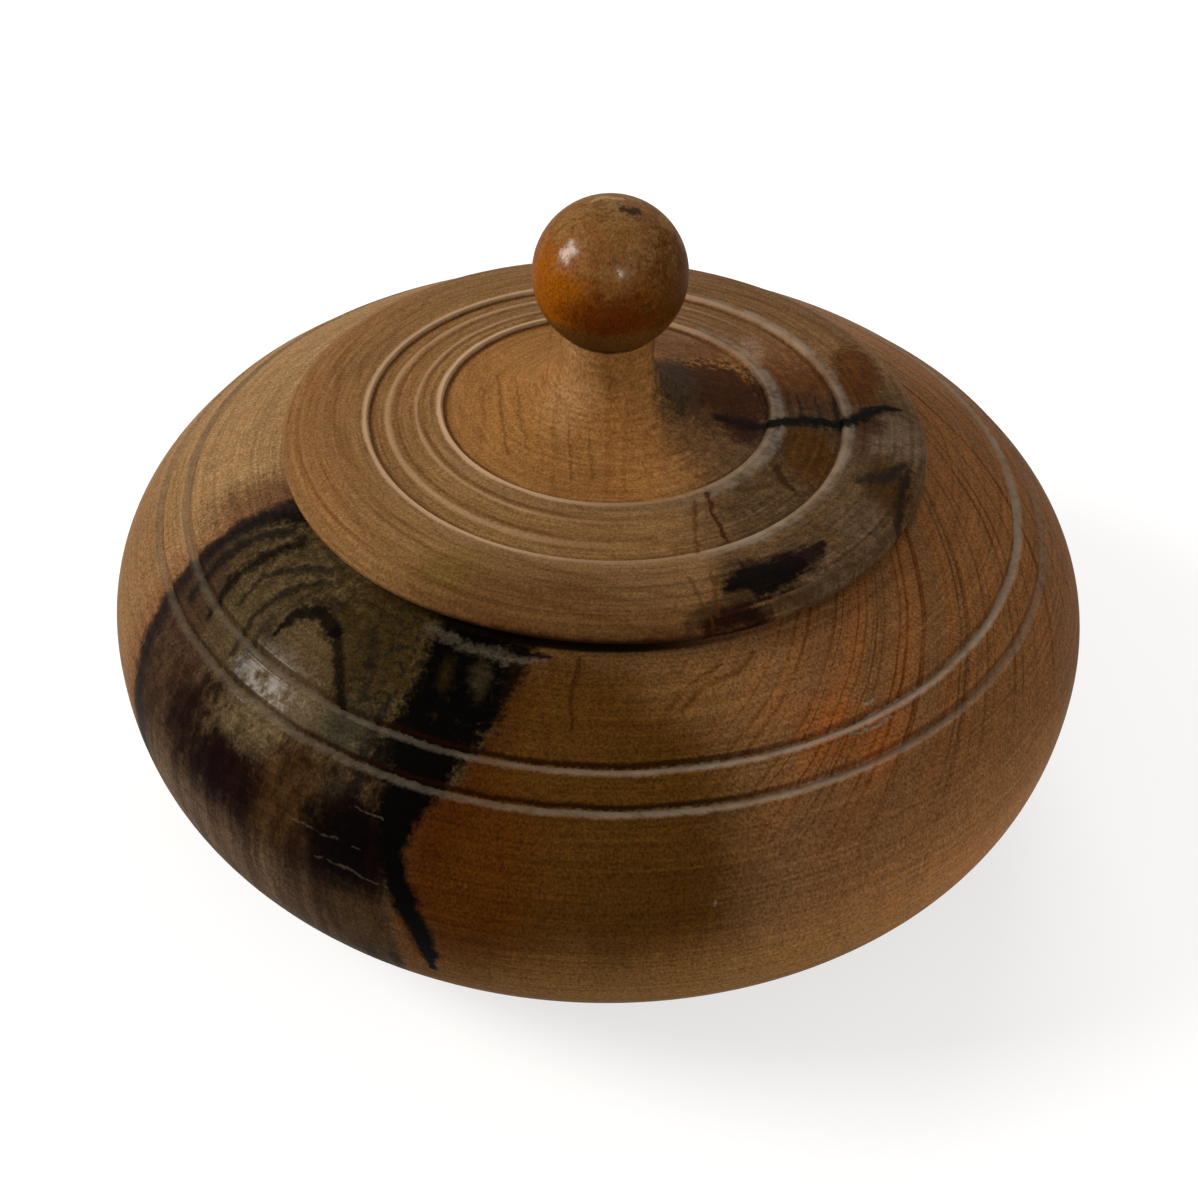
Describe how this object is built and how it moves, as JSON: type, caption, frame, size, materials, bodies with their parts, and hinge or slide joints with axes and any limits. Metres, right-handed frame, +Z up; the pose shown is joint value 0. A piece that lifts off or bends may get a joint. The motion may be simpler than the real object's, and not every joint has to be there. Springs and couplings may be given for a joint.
{
  "type": "lidded wooden bowl",
  "caption": "Squat turned wooden bowl with a lift-off lid that locates in the mouth, a ball knob on a hollow cone, and V grooves round the shoulder.",
  "frame": {"origin": "centre of the flat foot, on the surface that the bowl stands on", "axes": "+Z up along the axis the bowl was turned about, and the way the lid lifts"},
  "size_m": [0.125, 0.125, 0.081],
  "materials": {
    "bowl_wood": "turned and sanded, matt, with a dark spalted patch",
    "lid_wood": "turned and sanded, matt, with dark spalted streaks",
    "knob_wood": "turned, polished to a soft gloss"
  },
  "bodies": {
    "bowl": {"bowl": "bowl_wood"},
    "cover": {"lid": "lid_wood", "knob": "knob_wood"}
  },
  "joints": [
    {"name": "lid_lift", "type": "slide", "parent": "bowl", "child": "cover", "axis": [0, 0, 1], "range_m": [0, 0.07]}
  ]
}
